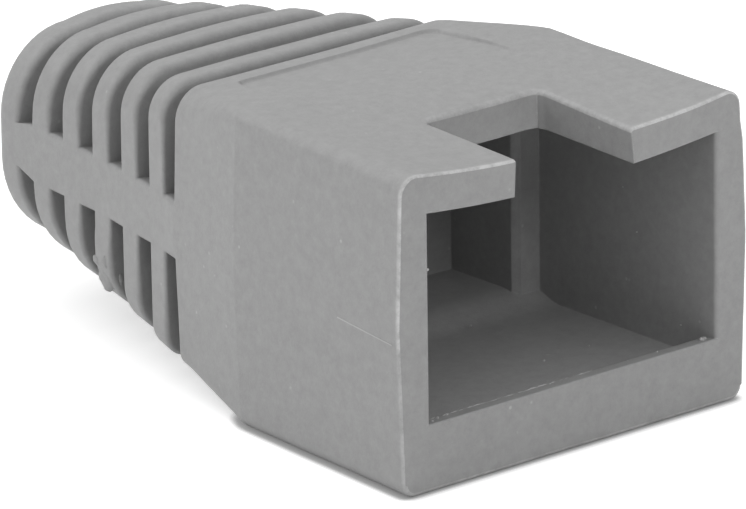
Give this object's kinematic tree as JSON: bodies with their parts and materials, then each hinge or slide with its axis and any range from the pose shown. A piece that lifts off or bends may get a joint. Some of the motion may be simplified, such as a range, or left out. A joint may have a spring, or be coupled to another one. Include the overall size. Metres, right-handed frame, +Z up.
{
  "type": "cable strain relief boot",
  "caption": "Soft slide-on strain relief boot for a modular network plug: open square mouth with a latch notch, tapered shoulder and slotted flexible tail.",
  "frame": {"origin": "on the plane of the underside, below the middle of the boot", "axes": "+Y from the plug's mouth to the cable exit, +Z up towards the notched roof, +X across the mouth"},
  "size_m": [0.0144, 0.0238, 0.0105],
  "materials": {
    "boot": "satin"
  },
  "bodies": {
    "root": {"boot": "boot"}
  },
  "joints": []
}
